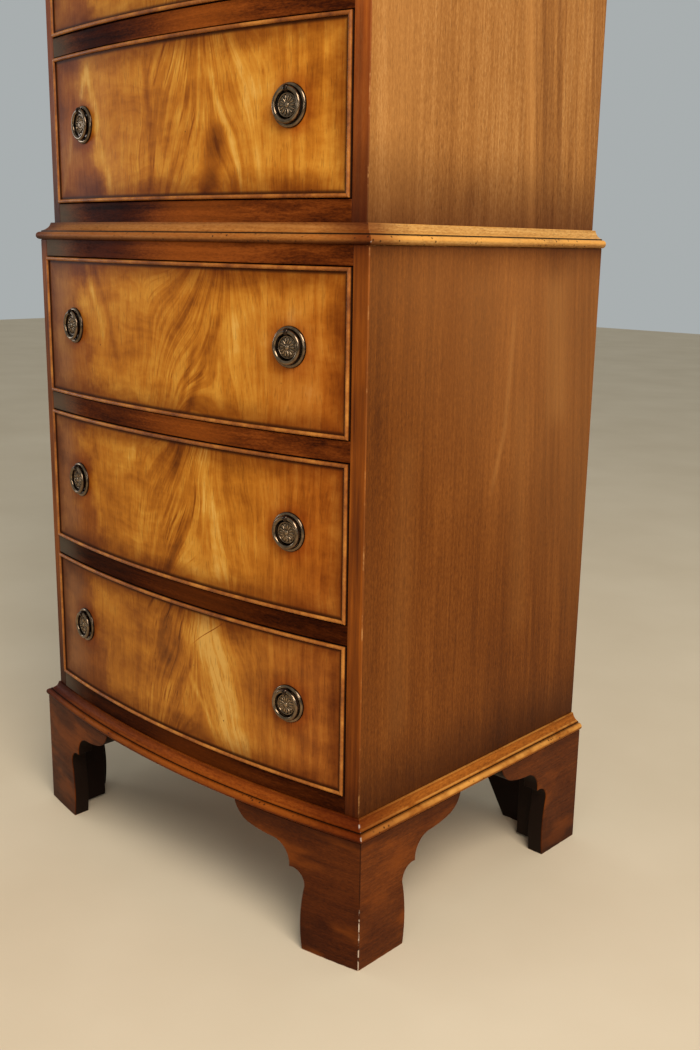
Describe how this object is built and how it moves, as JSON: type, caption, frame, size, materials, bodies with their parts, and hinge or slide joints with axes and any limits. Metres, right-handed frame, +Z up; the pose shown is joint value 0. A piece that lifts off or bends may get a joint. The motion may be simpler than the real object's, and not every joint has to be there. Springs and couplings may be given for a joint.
{
  "type": "highboy",
  "caption": "Bow-fronted mahogany highboy: one chest of long drawers on a wider one, with cock-beaded fronts, brass ring pulls, waist moulding, cornice and bracket feet.",
  "frame": {"origin": "centre of the piece's plan, on the floor", "axes": "+Z up, the drawers face -Y, +X to the right of someone facing the drawers"},
  "size_m": [0.582, 0.449, 1.41],
  "materials": {
    "case_mahogany": "polished",
    "figured_mahogany": "polished",
    "bead_mahogany": "polished",
    "moulding_mahogany": "polished",
    "foot_mahogany": "polished",
    "inner_timber": "plain",
    "back_timber": "plain",
    "brass": "antiqued"
  },
  "bodies": {
    "carcase": {"upper_right_side": "case_mahogany", "upper_left_side": "case_mahogany", "upper_back_panel": "back_timber", "upper_rails": "case_mahogany", "upper_bottom_board": "inner_timber", "lower_right_side": "case_mahogany", "lower_left_side": "case_mahogany", "lower_back_panel": "back_timber", "lower_rails": "case_mahogany", "lower_bottom_board": "inner_timber", "lower_top_board": "inner_timber", "lower_runners": "inner_timber", "upper_runners": "inner_timber", "drawer_stops": "inner_timber", "base_moulding": "moulding_mahogany", "waist_moulding": "moulding_mahogany", "cornice": "moulding_mahogany", "top_board": "case_mahogany", "front_right_foot": "foot_mahogany", "front_left_foot": "foot_mahogany", "rear_right_foot": "foot_mahogany", "rear_left_foot": "foot_mahogany"},
    "upper_drawer_1": {"upper_drawer_1_front": "figured_mahogany", "upper_drawer_1_box": "inner_timber", "upper_drawer_1_cock_bead": "bead_mahogany", "upper_drawer_1_pull_plates": "brass"},
    "upper_drawer_1_left_ring": {"upper_drawer_1_left_ring": "brass"},
    "upper_drawer_1_right_ring": {"upper_drawer_1_right_ring": "brass"},
    "upper_drawer_2": {"upper_drawer_2_front": "figured_mahogany", "upper_drawer_2_box": "inner_timber", "upper_drawer_2_cock_bead": "bead_mahogany", "upper_drawer_2_pull_plates": "brass"},
    "upper_drawer_2_left_ring": {"upper_drawer_2_left_ring": "brass"},
    "upper_drawer_2_right_ring": {"upper_drawer_2_right_ring": "brass"},
    "upper_drawer_3": {"upper_drawer_3_front": "figured_mahogany", "upper_drawer_3_box": "inner_timber", "upper_drawer_3_cock_bead": "bead_mahogany", "upper_drawer_3_pull_plates": "brass"},
    "upper_drawer_3_left_ring": {"upper_drawer_3_left_ring": "brass"},
    "upper_drawer_3_right_ring": {"upper_drawer_3_right_ring": "brass"},
    "lower_drawer_1": {"lower_drawer_1_front": "figured_mahogany", "lower_drawer_1_box": "inner_timber", "lower_drawer_1_cock_bead": "bead_mahogany", "lower_drawer_1_pull_plates": "brass"},
    "lower_drawer_1_left_ring": {"lower_drawer_1_left_ring": "brass"},
    "lower_drawer_1_right_ring": {"lower_drawer_1_right_ring": "brass"},
    "lower_drawer_2": {"lower_drawer_2_front": "figured_mahogany", "lower_drawer_2_box": "inner_timber", "lower_drawer_2_cock_bead": "bead_mahogany", "lower_drawer_2_pull_plates": "brass"},
    "lower_drawer_2_left_ring": {"lower_drawer_2_left_ring": "brass"},
    "lower_drawer_2_right_ring": {"lower_drawer_2_right_ring": "brass"},
    "lower_drawer_3": {"lower_drawer_3_front": "figured_mahogany", "lower_drawer_3_box": "inner_timber", "lower_drawer_3_cock_bead": "bead_mahogany", "lower_drawer_3_pull_plates": "brass"},
    "lower_drawer_3_left_ring": {"lower_drawer_3_left_ring": "brass"},
    "lower_drawer_3_right_ring": {"lower_drawer_3_right_ring": "brass"}
  },
  "joints": [
    {"name": "upper_drawer_1_slide", "type": "slide", "parent": "carcase", "child": "upper_drawer_1", "axis": [0, -1, 0], "range_m": [0, 0.26]},
    {"name": "upper_drawer_1_left_ring_hinge", "type": "hinge", "parent": "upper_drawer_1", "child": "upper_drawer_1_left_ring", "pos_m": [-0.17138, -0.18902, 1.2707], "axis": [-0.992, 0.1264, 0], "range_deg": [0, 100]},
    {"name": "upper_drawer_1_right_ring_hinge", "type": "hinge", "parent": "upper_drawer_1", "child": "upper_drawer_1_right_ring", "pos_m": [0.17138, -0.18902, 1.2707], "axis": [-0.992, -0.1264, 0], "range_deg": [0, 100]},
    {"name": "upper_drawer_2_slide", "type": "slide", "parent": "carcase", "child": "upper_drawer_2", "axis": [0, -1, 0], "range_m": [0, 0.26]},
    {"name": "upper_drawer_2_left_ring_hinge", "type": "hinge", "parent": "upper_drawer_2", "child": "upper_drawer_2_left_ring", "pos_m": [-0.17138, -0.18902, 1.0827], "axis": [-0.992, 0.1264, 0], "range_deg": [0, 100]},
    {"name": "upper_drawer_2_right_ring_hinge", "type": "hinge", "parent": "upper_drawer_2", "child": "upper_drawer_2_right_ring", "pos_m": [0.17138, -0.18902, 1.0827], "axis": [-0.992, -0.1264, 0], "range_deg": [0, 100]},
    {"name": "upper_drawer_3_slide", "type": "slide", "parent": "carcase", "child": "upper_drawer_3", "axis": [0, -1, 0], "range_m": [0, 0.26]},
    {"name": "upper_drawer_3_left_ring_hinge", "type": "hinge", "parent": "upper_drawer_3", "child": "upper_drawer_3_left_ring", "pos_m": [-0.17138, -0.18902, 0.8947], "axis": [-0.992, 0.1264, 0], "range_deg": [0, 100]},
    {"name": "upper_drawer_3_right_ring_hinge", "type": "hinge", "parent": "upper_drawer_3", "child": "upper_drawer_3_right_ring", "pos_m": [0.17138, -0.18902, 0.8947], "axis": [-0.992, -0.1264, 0], "range_deg": [0, 100]},
    {"name": "lower_drawer_1_slide", "type": "slide", "parent": "carcase", "child": "lower_drawer_1", "axis": [0, -1, 0], "range_m": [0, 0.26]},
    {"name": "lower_drawer_1_left_ring_hinge", "type": "hinge", "parent": "lower_drawer_1", "child": "lower_drawer_1_left_ring", "pos_m": [-0.18543, -0.20129, 0.6667], "axis": [-0.9908, 0.1354, 0], "range_deg": [0, 100]},
    {"name": "lower_drawer_1_right_ring_hinge", "type": "hinge", "parent": "lower_drawer_1", "child": "lower_drawer_1_right_ring", "pos_m": [0.18543, -0.20129, 0.6667], "axis": [-0.9908, -0.1354, 0], "range_deg": [0, 100]},
    {"name": "lower_drawer_2_slide", "type": "slide", "parent": "carcase", "child": "lower_drawer_2", "axis": [0, -1, 0], "range_m": [0, 0.26]},
    {"name": "lower_drawer_2_left_ring_hinge", "type": "hinge", "parent": "lower_drawer_2", "child": "lower_drawer_2_left_ring", "pos_m": [-0.18543, -0.20129, 0.4787], "axis": [-0.9908, 0.1354, 0], "range_deg": [0, 100]},
    {"name": "lower_drawer_2_right_ring_hinge", "type": "hinge", "parent": "lower_drawer_2", "child": "lower_drawer_2_right_ring", "pos_m": [0.18543, -0.20129, 0.4787], "axis": [-0.9908, -0.1354, 0], "range_deg": [0, 100]},
    {"name": "lower_drawer_3_slide", "type": "slide", "parent": "carcase", "child": "lower_drawer_3", "axis": [0, -1, 0], "range_m": [0, 0.26]},
    {"name": "lower_drawer_3_left_ring_hinge", "type": "hinge", "parent": "lower_drawer_3", "child": "lower_drawer_3_left_ring", "pos_m": [-0.18543, -0.20129, 0.2907], "axis": [-0.9908, 0.1354, 0], "range_deg": [0, 100]},
    {"name": "lower_drawer_3_right_ring_hinge", "type": "hinge", "parent": "lower_drawer_3", "child": "lower_drawer_3_right_ring", "pos_m": [0.18543, -0.20129, 0.2907], "axis": [-0.9908, -0.1354, 0], "range_deg": [0, 100]}
  ]
}
